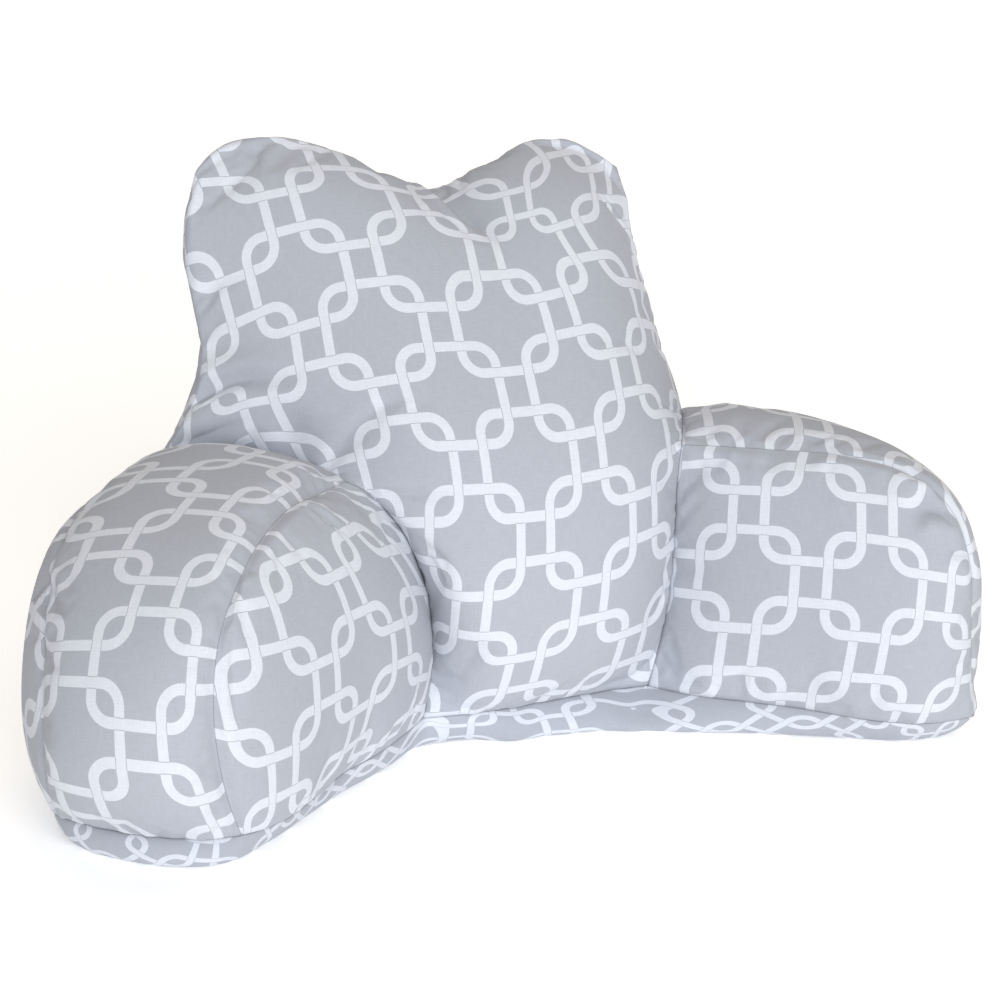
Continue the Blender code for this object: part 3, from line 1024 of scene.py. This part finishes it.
@dataclass(frozen=True)
class PrintedCotton:
    """The cover's cloth.

    Args:
        ground: the colour between the bands.
        band: the colour of the bands.
        line: the colour of the thin lines.
        rough: how matt it is.
        tone: how much its threads differ in colour.
        relief: the height of its threads, in metres.
        seam: how much painted shade darkens a seam's line, for the shadow in its crease.
        seam_shade_reach: how wide half that line of painted shade is, in metres.
        seam_shade_soft: half the width over which its edge blurs, in metres.
    """

    ground: tuple[float, float, float, float] = (0.405, 0.425, 0.475, 1.0)
    band: tuple[float, float, float, float] = (0.650, 0.675, 0.735, 1.0)
    line: tuple[float, float, float, float] = (0.36, 0.375, 0.42, 1.0)
    rough: float = 0.85
    tone: float = 0.15
    relief: float = 0.00025
    seam: float = 0.3
    seam_shade_reach: float = 0.0005
    seam_shade_soft: float = 0.0002

    def build(self, name: str) -> bpy.types.Material:
        """Makes the material under a name."""
        material, nodes, shader = new_material(name)
        cloth = nodes.new("ShaderNodeTexCoord").outputs["UV"]
        links, weave = (nodes.new("ShaderNodeGroup", {"Cloth": cloth}, node_tree=group)
                        for group in (LinkPrint().build(), PlainWeave().build()))
        printed = nodes.mix(links.outputs["Band"], self.ground, self.band)
        printed = nodes.mix(links.outputs["Line"], printed, self.line)
        tone = nodes.math("MULTIPLY_ADD", weave.outputs["Tone"], 2 * self.tone, 1.0 - self.tone)
        # Painted shade: a thin darker line along each seam stands in for the shadow in the seam's crease.
        seam = nodes.new("ShaderNodeAttribute", attribute_name="seam").outputs["Fac"]
        shaded = nodes.math("MULTIPLY", nodes.step(seam, self.seam_shade_reach, self.seam_shade_soft), self.seam)
        tone = nodes.math("MULTIPLY", tone, nodes.math("SUBTRACT", 1.0, shaded))
        shade = nodes.new("ShaderNodeHueSaturation", {"Value": tone, "Color": printed})
        bump = nodes.new("ShaderNodeBump", {"Strength": 0.5, "Distance": self.relief,
                                            "Height": weave.outputs["Height"]})
        nodes.fill(shader, {"Base Color": shade.outputs[0], "Normal": bump.outputs[0],
                            "Roughness": self.rough, "Specular IOR Level": 0.25,
                            "Sheen Weight": 0.12, "Sheen Roughness": 0.5})
        return material


# ---------------------------------------------------------------- the pillow's pieces


def swept(count: int, first: float, last: float) -> Grid:
    """Fullness along a strip that starts and ends at a seam and is full between."""
    along = np.linspace(0, 1, count)
    return np.clip(along * first, 0, 1)**0.7 * np.clip((1 - along) * last, 0, 1)**0.75


@dataclass
class Arm:
    """One arm: an inner panel, a strip over its top and end, and an outer panel.

    Args:
        cut: its seams.
        steps: how finely it is made.
        node: the solid that it stands for.
        inner_laid: how the print lies on the inner panel.
        strip_laid: how it lies on the strip.
        inner_folds: the inner panel's folds.
        strip_folds: the strip's folds.
        filling: how it is blown up.
        inner_full: the powers of the inner panel's fullness (across, up), each (at its start, at its end).
        outer_full: the same for the outer panel.
        strip_full: the power of the strip's fullness at both its long seams.
        strip_ends: how fast the strip grows full from (its valley, its foot).
    """

    cut: SideCut
    steps: Steps
    node: str
    inner_laid: Laid
    strip_laid: Laid
    inner_folds: tuple[Fold, ...] = ()
    strip_folds: tuple[Fold, ...] = ()
    filling: Filling = Filling(cap=2.5)
    inner_full: tuple[tuple[float, float], ...] = ((1.4, 0.5), (0.6, 0.5))
    outer_full: tuple[tuple[float, float], ...] = ((0.9, 0.5), (0.7, 0.5))
    strip_full: float = 0.55
    strip_ends: tuple[float, float] = (9.0, 6.0)

    def shapes(self) -> dict[str, Grid]:
        """The arm's surfaces by name, in millimetres."""
        cut, steps, side = self.cut, self.steps, self.cut.side.value
        (inner_top, inner_end), (outer_top, outer_end) = (
            (resample(curve, steps.arm, 0, cut.turn), resample(curve, steps.rise, cut.turn, 1))
            for curve in (cut.curve("arm_inner"), cut.curve("arm_outer")))
        upright, rear = (resample(cut.curve(name), steps.rise) for name in ("upright", "rear"))
        valley, foot_end = (resample(cut.curve(name), steps.strip) for name in ("valley", "foot_end"))
        foot_inner, foot_outer = (resample(cut.curve(name), steps.arm)
                                  for name in ("foot_inner", "foot_outer"))
        foot_wall = np.linspace(upright[0], rear[0], steps.strip + 1)

        inner = patch(foot_inner, inner_top, upright, inner_end[::-1])
        outer = patch(foot_outer, outer_top[::-1], outer_end[::-1], rear)
        inner, outer = (
            fill_out(grid, side * crown, swell(steps.arm + 1, *across), swell(steps.rise + 1, *up))
            for grid, crown, (across, up) in ((inner, cut.inner_crown, self.inner_full),
                                              (outer, cut.outer_crown, self.outer_full)))
        strip = patch(valley, foot_end, join(inner_top, inner_end), join(outer_top, outer_end))
        strip = fill_out(strip, -side * cut.strip_crown,
                         swell(steps.strip + 1, self.strip_full, self.strip_full),
                         swept(len(strip), *self.strip_ends))
        wall = patch(foot_wall, valley, upright, rear)
        foot = patch(foot_inner, foot_outer[::-1], foot_wall, foot_end)
        return {"inner": inner, "strip": strip, "outer": outer, "wall": wall, "foot": foot}

    def build(self, shapes: dict[str, Grid]) -> bpy.types.Object:
        """Sews the arm's object from its surfaces."""
        side = self.cut.side.value
        panels = [
            Panel(shapes["inner"], side, self.inner_laid, self.inner_folds, Puckers(seed=side)),
            Panel(shapes["strip"], -side, self.strip_laid, self.strip_folds, Puckers(seed=side + 5)),
            Panel(shapes["outer"], side, puckers=Puckers(seed=side + 9)),
            Panel(shapes["wall"], -side, hidden=True),
            Panel(shapes["foot"], -side, hidden=True),
        ]
        return Sewing(self.node + "_cover", panels, self.filling).make()


@dataclass
class BackRest:
    """The back rest: a front and a rear panel between the two arms.

    Args:
        left: the left seams.
        right: the right seams.
        steps: how finely it is made.
        front_laid: how the print lies on the front panel.
        front_folds: the front panel's folds.
        filling: how it is blown up.
        foot_front: the front foot seam, left to right.
        foot_rear: the rear foot seam, right to left.
        front_middle: the middle of the front face, foot to dip.
        rear_middle: the middle of the rear face, foot to dip.
        crown: how far the front panel stands out.
        rear_crown: how far the rear panel stands out.
        beside_arm: the powers of the front panel's fullness at its (left, right) seam beside the arms.
        above_arm: the same above them.
        upright_share: the share of a front column that lies beside the arm's inner panel.
        valley_share: the share of it that lies below the end of the valley.
        rear_share: the share of a rear column that lies beside the arm's outer panel.
    """

    left: SideCut
    right: SideCut
    steps: Steps
    front_laid: Laid
    front_folds: tuple[Fold, ...] = ()
    filling: Filling = Filling()
    foot_front: tuple = ((-79, 29, 30), (-40, 24, 30), (0, 24, 30), (45, 28, 30), (85, 30, 30),
                         (122, 27, 30))
    foot_rear: tuple = ((235, 180, 30), (150, 204, 30), (0, 212, 30), (-150, 207, 30), (-245, 185, 30))
    front_middle: tuple = ((20, 24, 30), (18, -4, 75), (15, -16, 125), (12, -17, 180), (10, -2, 235),
                           (8, 28, 285), (4, 64, 332), (0, 104, 374), (-4, 146, 406), (-7, 178, 419),
                           (-8, 198, 422))
    rear_middle: tuple = ((0, 212, 30), (0, 238, 90), (0, 252, 160), (0, 255, 240), (0, 250, 320),
                          (0, 234, 385), (-8, 198, 422))
    crown: float = 20
    rear_crown: float = 12
    beside_arm: tuple[float, float] = (0.8, 1.1)
    above_arm: tuple[float, float] = (0.5, 0.5)
    upright_share: float = 0.40
    valley_share: float = 0.585
    rear_share: float = 0.52

    def front_rows(self, curve: Curve) -> Curve:
        """A front column's points, level with the seams beside it."""
        steps = self.steps
        return join(resample(curve, steps.rise, 0, self.upright_share),
                    resample(curve, steps.strip, self.upright_share, self.valley_share),
                    resample(curve, steps.side, self.valley_share, 1))

    def rear_rows(self, curve: Curve) -> Curve:
        """A rear column's points, level with the seams beside it."""
        return join(resample(curve, self.steps.rise, 0, self.rear_share),
                    resample(curve, self.steps.side, self.rear_share, 1))

    def shapes(self, walls: dict[Side, Grid]) -> dict[str, Grid]:
        """The back's surfaces by name, in millimetres, given the walls between it and the arms."""
        left, right, steps = self.left, self.right, self.steps
        edges = {}
        for cut in (left, right):
            upright, rear = (resample(cut.curve(name), steps.rise) for name in ("upright", "rear"))
            valley = resample(cut.curve("valley"), steps.strip)
            open_side = resample(cut.curve("open_side"), steps.side)
            edges[cut.side] = (join(upright, valley, open_side), join(rear, open_side))
        half = steps.width // 2
        top = join(resample(left.curve("top"), half), resample(right.curve("top"), half)[::-1])
        foot_front, foot_rear = (resample(smooth_curve(foot), steps.width)
                                 for foot in (self.foot_front, self.foot_rear))
        front = loft([edges[Side.LEFT][0], self.front_rows(left.curve("front_column")),
                      self.front_rows(smooth_curve(self.front_middle)),
                      self.front_rows(right.curve("front_column")), edges[Side.RIGHT][0]],
                     foot_front, top, steps.width)
        rows = len(front)
        openness = np.clip((np.arange(rows) - steps.rise - steps.strip / 2) / steps.side, 0, 1)
        powers = np.outer(1 - openness, self.beside_arm) + np.outer(openness, self.above_arm)
        across = np.stack([swell(steps.width + 1, *ends) for ends in powers])
        front = fill_out(front, self.crown, across, swell(rows, 0.6, 0.5))
        rear = loft([edges[Side.RIGHT][1], self.rear_rows(right.curve("rear_column")),
                     self.rear_rows(smooth_curve(self.rear_middle)),
                     self.rear_rows(left.curve("rear_column")), edges[Side.LEFT][1]],
                    foot_rear, top[::-1], steps.width)
        rear = fill_out(rear, self.rear_crown, swell(steps.width + 1), swell(len(rear)))
        foot = patch(foot_front, foot_rear[::-1], walls[Side.LEFT][0], walls[Side.RIGHT][0])
        return {"front": front, "rear": rear, "foot": foot}

    def build(self, shapes: dict[str, Grid], walls: dict[Side, Grid]) -> bpy.types.Object:
        """Sews the back rest's object from its surfaces and the walls between it and the arms."""
        panels = [
            Panel(shapes["front"], 1, self.front_laid, self.front_folds, Puckers(seed=2)),
            Panel(shapes["rear"], 1, puckers=Puckers(seed=3)),
            Panel(shapes["foot"], -1, hidden=True),
            Panel(walls[Side.LEFT], 1, hidden=True),
            Panel(walls[Side.RIGHT], -1, hidden=True),
        ]
        return Sewing("back_rest_cover", panels, self.filling).make()


@dataclass
class BasePanel:
    """The panel that the pillow stands on. Its rim shows under the bottom seam.

    Args:
        laid: how the print lies on its rim.
        back: the back's surfaces.
        right: the right arm's surfaces.
        left: the left arm's surfaces.
        rows: (bulge in millimetres, share of the seam's height) down the rim.
        stands: how far its lower edge stands out under each stretch of the foot seam (at its start,
            at its end), in millimetres, from the back's front round by the right arm.
        gathered: how much more cloth lies down the rim than its length.
        ripple: how far the lower edge waves in and out, in millimetres.
        ripple_length: the length of a wave, in millimetres.
        outline_blend: how many rounds even out the lower edge's stand-out.
        outward_blend: how many rounds even out the ways that it stands out.
        ring_blend: how many rounds more even out each ring down the rim.
    """

    laid: Laid
    back: dict[str, Grid]
    right: dict[str, Grid]
    left: dict[str, Grid]
    rows: tuple[tuple[float, float], ...] = ((2.6, 0.88), (4.4, 0.75), (5.4, 0.61), (5.6, 0.46), (4.8, 0.32),
                                             (2.8, 0.19), (-0.6, 0.08), (-6.0, 0.02), (-14.0, 0.0))
    stands: tuple[tuple[float, float], ...] = ((-22, 36), (26, -36), (-34, -26), (-26, -26), (-26, -26),
                                               (-26, -16), (2, 12), (-14, -10))
    gathered: float = 2.0
    ripple: float = 7.0
    ripple_length: float = 38.0
    outline_blend: int = 40
    outward_blend: int = 60
    ring_blend: int = 3

    def outline(self) -> tuple[Curve, Grid]:
        """The foot seam all round, once, and how far the base stands out under it.

        Returns:
            The seam's points and one distance a point.
        """
        right, left = self.right["foot"], self.left["foot"]
        runs = [self.back["front"][0], right[0], right[:, -1], right[-1][::-1], self.back["rear"][0],
                left[-1], left[::-1, -1], left[0][::-1]]
        seam = np.vstack([run[:-1] for run in runs])
        stand_out = [np.linspace(*ends, len(run))[:-1] for run, ends in zip(runs, self.stands)]
        return seam, blend_round(np.concatenate(stand_out), self.outline_blend)

    def build(self) -> bpy.types.Object:
        """Makes the base panel's object."""
        seam, stand_out = self.outline()
        along = np.roll(seam, -1, 0) - np.roll(seam, 1, 0)
        outward = np.stack([along[:, 1], -along[:, 0], 0 * along[:, 0]], 1)
        outward /= np.linalg.norm(outward, axis=1, keepdims=True)
        outward = blend_round(outward, self.outward_blend)
        run = np.linalg.norm(np.diff(seam, axis=0, append=seam[:1]), axis=1).cumsum()
        ripples = self.ripple * wave_noise(run / self.ripple_length, 0 * run + 0.5)
        rings = [seam]
        for bulge, height in self.rows:
            spread = (stand_out + ripples) * (1 - height) + bulge
            ring = seam + outward * spread[:, None]
            ring = blend_round(ring, self.ring_blend * len(rings))
            ring[:, 2] = seam[:, 2] * height
            rings.append(ring)
        rim = np.stack(rings[::-1])
        down = np.linalg.norm(np.diff(rim, axis=0), axis=2).cumsum(axis=0) * self.gathered
        flat = np.concatenate([rim[:1], rim[:1] + outward[None] * down[..., None]])[..., :2]
        rim, flat = (np.concatenate([ring, ring[:, :1]], axis=1) for ring in (rim, flat))
        cloth = self.laid.place(flat, -1)
        parts = [(refine(rim), refine(cloth))]
        parts += [(refine(shapes["foot"]), None) for shapes in (self.back, self.right, self.left)]
        piece = weave_piece("base_panel_cover", parts, weld=True)
        close_underside(piece.data)
        return piece


def blend_round(values: Grid, rounds: int) -> Grid:
    """Evens out values that follow each other round a closed outline."""
    for _ in range(rounds):
        values = (np.roll(values, 1, 0) + 2 * values + np.roll(values, -1, 0)) / 4
    return values


def close_underside(mesh: bpy.types.Mesh) -> None:
    """Fills the flat hole that a rim leaves on the floor."""
    sheet = bmesh.new()
    sheet.from_mesh(mesh)
    rim = [edge for edge in sheet.edges if edge.is_boundary]
    bmesh.ops.contextual_create(sheet, geom=rim)
    bmesh.ops.recalc_face_normals(sheet, faces=sheet.faces)
    sheet.to_mesh(mesh)
    sheet.free()


# ---------------------------------------------------------------- studio


def hang(name: str, data: bpy.types.ID, place: Vector, way: Vector) -> bpy.types.Object:
    """Puts a lamp or a camera in the scene.

    Args:
        name: its name.
        data: the lamp's or the camera's own data.
        place: where it hangs.
        way: the way that it looks.

    Returns:
        Its object.
    """
    thing = bpy.data.objects.new(name, data)
    thing.location = place
    thing.rotation_mode = "QUATERNION"
    thing.rotation_quaternion = way.to_track_quat("-Z", "Y")
    bpy.context.collection.objects.link(thing)
    return thing


@dataclass(frozen=True)
class Lamp:
    """A wide soft lamp that lights the whole floor alike.

    Args:
        name: its name.
        place: the way that it stands in.
        softness: how wide it looks, in degrees.
        power: how bright it is.
        color: its colour.
        away: how many times farther than its place it hangs, which changes only where it is found.
    """

    name: str
    place: tuple[float, float, float]
    softness: float
    power: float
    color: tuple[float, float, float]
    away: float = 3.0

    def build(self) -> None:
        """Hangs the lamp."""
        light = bpy.data.lights.new(self.name, "SUN")
        light.angle = math.radians(self.softness)
        light.energy = self.power
        light.color = self.color
        hang(self.name, light, Vector(self.place) * self.away, -Vector(self.place))


@dataclass(frozen=True)
class Studio:
    """The floor, lamps and camera.

    Args:
        lens: the camera's lens in millimetres, on a 36 mm sensor.
        turn: how far the camera stands to the left, in degrees.
        lift: how high it looks down, in degrees.
        distance: how far it is from its aim, in metres.
        aim: the place that it looks at, in metres.
        lamps: the lamps.
        surroundings: how bright the room is.
        floor_glow: how much the floor shines, as a lit table does.
    """

    lens: float = 162.0
    turn: float = 23.2
    lift: float = 17.5
    distance: float = 3.619
    aim: tuple[float, float, float] = (0.0144, -0.0412, 0.2152)
    lamps: tuple[Lamp, ...] = (
        Lamp("front_lamp", (-0.16, -0.88, 0.34), 45.0, 2.6, (0.95, 0.975, 1.0)),
        Lamp("top_lamp", (0.25, 0.35, 0.9), 60.0, 0.9, (1.0, 0.84, 0.66)),
    )
    surroundings: float = 0.25
    floor_glow: float = 0.36

    def build(self) -> None:
        """Sets up the floor, the lamps, the surroundings and the camera."""
        self.lay_floor()
        for lamp in self.lamps:
            lamp.build()
        world = bpy.data.worlds.new("studio")
        world.use_nodes = True
        Nodes(world.node_tree).fill(world.node_tree.nodes["Background"],
                                    {"Color": WHITE, "Strength": self.surroundings})
        bpy.context.scene.world = world
        turn, lift = math.radians(self.turn), math.radians(self.lift)
        way = Vector((math.sin(turn) * math.cos(lift), math.cos(turn) * math.cos(lift), -math.sin(lift)))
        camera = hang("camera", bpy.data.cameras.new("camera"), Vector(self.aim) - way * self.distance, way)
        camera.data.lens = self.lens
        camera.data.sensor_width = 36.0
        camera.data.clip_end = 50.0
        bpy.context.scene.camera = camera
        bpy.context.scene.view_settings.view_transform = "Standard"

    def lay_floor(self) -> None:
        """Lays a wide pale floor."""
        sheet = bmesh.new()
        bmesh.ops.create_circle(sheet, cap_ends=True, segments=64, radius=12.0)
        floor = place_mesh("floor", sheet)
        material, nodes, shader = new_material("pale_floor")
        cloud = nodes.new("ShaderNodeTexNoise", {"Scale": 3.0})
        tint = nodes.new("ShaderNodeMapRange", {"Value": cloud.outputs[0], "To Min": 0.93, "To Max": 0.95})
        nodes.fill(shader, {"Base Color": tint.outputs[0], "Roughness": 0.9, "Emission Color": WHITE,
                            "Emission Strength": self.floor_glow})
        floor.data.materials.append(material)


# ---------------------------------------------------------------- making


FRONT_FOLDS = (
    Fold(((0.505, 0.985), (0.509, 0.894), (0.523, 0.860), (0.540, 0.830), (0.562, 0.804)), 11, 22,
         ridge=0.1, tail=1.8, lean=0.22),
    Fold(((0.02, 0.675), (0.066, 0.655), (0.122, 0.620), (0.17, 0.600)), 7, 7, tail=1.6),
    Fold(((0.01, 0.605), (0.028, 0.593), (0.071, 0.571), (0.12, 0.555)), 7, 6, tail=1.6),
    Fold(((0.14, 0.975), (0.135, 0.955), (0.125, 0.930)), 2.5, 5, tail=1.5),
)
RIGHT_INNER_FOLDS = (
    Fold(((0.97, 0.87), (0.88, 0.826), (0.79, 0.790)), 7, 7, lean=1.8),
    Fold(((0.99, 0.72), (0.95, 0.70), (0.91, 0.70)), 3, 5),
)
LEFT_INNER_FOLDS = (
    Fold(((0.42, 0.96), (0.39, 0.87), (0.36, 0.81)), 3.5, 4, tail=1.6),
)
LEFT_STRIP_FOLDS = (
    Fold(((0.98, 0.55), (0.92, 0.59), (0.84, 0.63)), 3, 5),
    Fold(((0.98, 0.66), (0.93, 0.69), (0.88, 0.71)), 2, 5),
)
TABLE_TO_ROW = (33.9, -49.5, 0.0)  # from the tables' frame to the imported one, in millimetres
FRONT_LAID = Laid(
    middle=(-0.16, 3.53),
    start=(0.431, 0.546),
    across=(1.054, -0.092, -0.016, -0.002, 0.0, -0.004, 0.007, 0.003),
    along=(0.067, 1.005, -0.035, 0.015, 0.006, -0.009, -0.032, -0.006),
    gathers=(
        (1.01, 0.85, 0.29, -0.03),
        (0.76, 1.28, -0.10, 0.20),
        (1.56, 1.47, -0.08, 0.10),
        (1.85, 1.01, 0.23, 0.01),
        (0.0, 1.03, -0.06, -0.18),
        (-1.91, 1.94, -0.06, -0.06),
        (-2.26, -0.30, 0.03, -0.31),
    ),
)
RIGHT_INNER_LAID = Laid(
    middle=(-0.023, 1.441),
    start=(0.499, 0.239),
    across=(1.003, -0.013, 0.060, 0.037, 0.069, 0.014, -0.016, 0.065),
    along=(-0.084, 1.037, 0.079, 0.004, 0.060, 0.032, 0.037, -0.027),
)
RIGHT_STRIP_LAID = Laid(
    turned=True,
    middle=(0.955, -0.346),
    start=(0.365, -0.097),
    across=(1.122, 0.134),
    along=(0.033, 0.836),
)
LEFT_INNER_LAID = Laid(
    middle=(-0.24, 1.22),
    start=(0.732, 0.105),
    across=(0.934, -0.083, 0.026, 0.104, 0.181, -0.007, 0.146, 0.296),
    along=(0.082, 1.018, 0.011, 0.035, -0.043, 0.041, -0.042, -0.061),
)
LEFT_STRIP_LAID = Laid(
    turned=True,
    middle=(2.855, 0.29),
    start=(0.367, 0.022),
    across=(-1.016, 0.001, 0.051, 0.080, -0.032),
    along=(-0.043, -1.041, 0.003, -0.007, -0.156),
)
BASE_LAID = Laid(start=(-0.06, 0.14), across=(1.2, 0.1), along=(-0.1, 1.2))


def finish_piece(piece: bpy.types.Object, node: str, material: bpy.types.Material) -> None:
    """Dresses a piece and puts it in the CAD solid's place.

    Args:
        piece: the sewn piece.
        node: the solid that it stands for.
        material: its cloth.
    """
    piece.data.transform(Matrix.Translation(Vector(TABLE_TO_ROW) * MM))
    piece.data.materials.append(material)
    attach(piece, "root")
    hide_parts(node)
    low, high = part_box(node)
    spots = points_of(piece.data) * MM
    past = np.concatenate([np.array(low) - spots.min(0), spots.max(0) - np.array(high)]) / MM
    LOG.info("%s: %d faces, %s past the solid's box, in mm", piece.name, len(piece.data.polygons),
             np.round(past, 1))


def main() -> None:
    """Makes the pillow and its studio."""
    logging.basicConfig(level=logging.INFO, format="%(message)s")
    steps = Steps()
    cotton = PrintedCotton().build("printed_cotton")
    arms = {
        Side.RIGHT: Arm(RIGHT_CUT, steps, "arm_right", RIGHT_INNER_LAID, RIGHT_STRIP_LAID, RIGHT_INNER_FOLDS),
        Side.LEFT: Arm(LEFT_CUT, steps, "arm_left", LEFT_INNER_LAID, LEFT_STRIP_LAID, LEFT_INNER_FOLDS,
                       LEFT_STRIP_FOLDS),
    }
    shapes = {side: arm.shapes() for side, arm in arms.items()}
    walls = {side: shape["wall"] for side, shape in shapes.items()}
    back = BackRest(LEFT_CUT, RIGHT_CUT, steps, FRONT_LAID, FRONT_FOLDS)
    back_shapes = back.shapes(walls)
    base = BasePanel(BASE_LAID, back_shapes, shapes[Side.RIGHT], shapes[Side.LEFT])
    finish_piece(base.build(), "base_panel", cotton)
    for side, arm in arms.items():
        finish_piece(arm.build(shapes[side]), arm.node, cotton)
    finish_piece(back.build(back_shapes, walls), "back_rest", cotton)
    Studio().build()


if __name__ == "__main__":
    main()
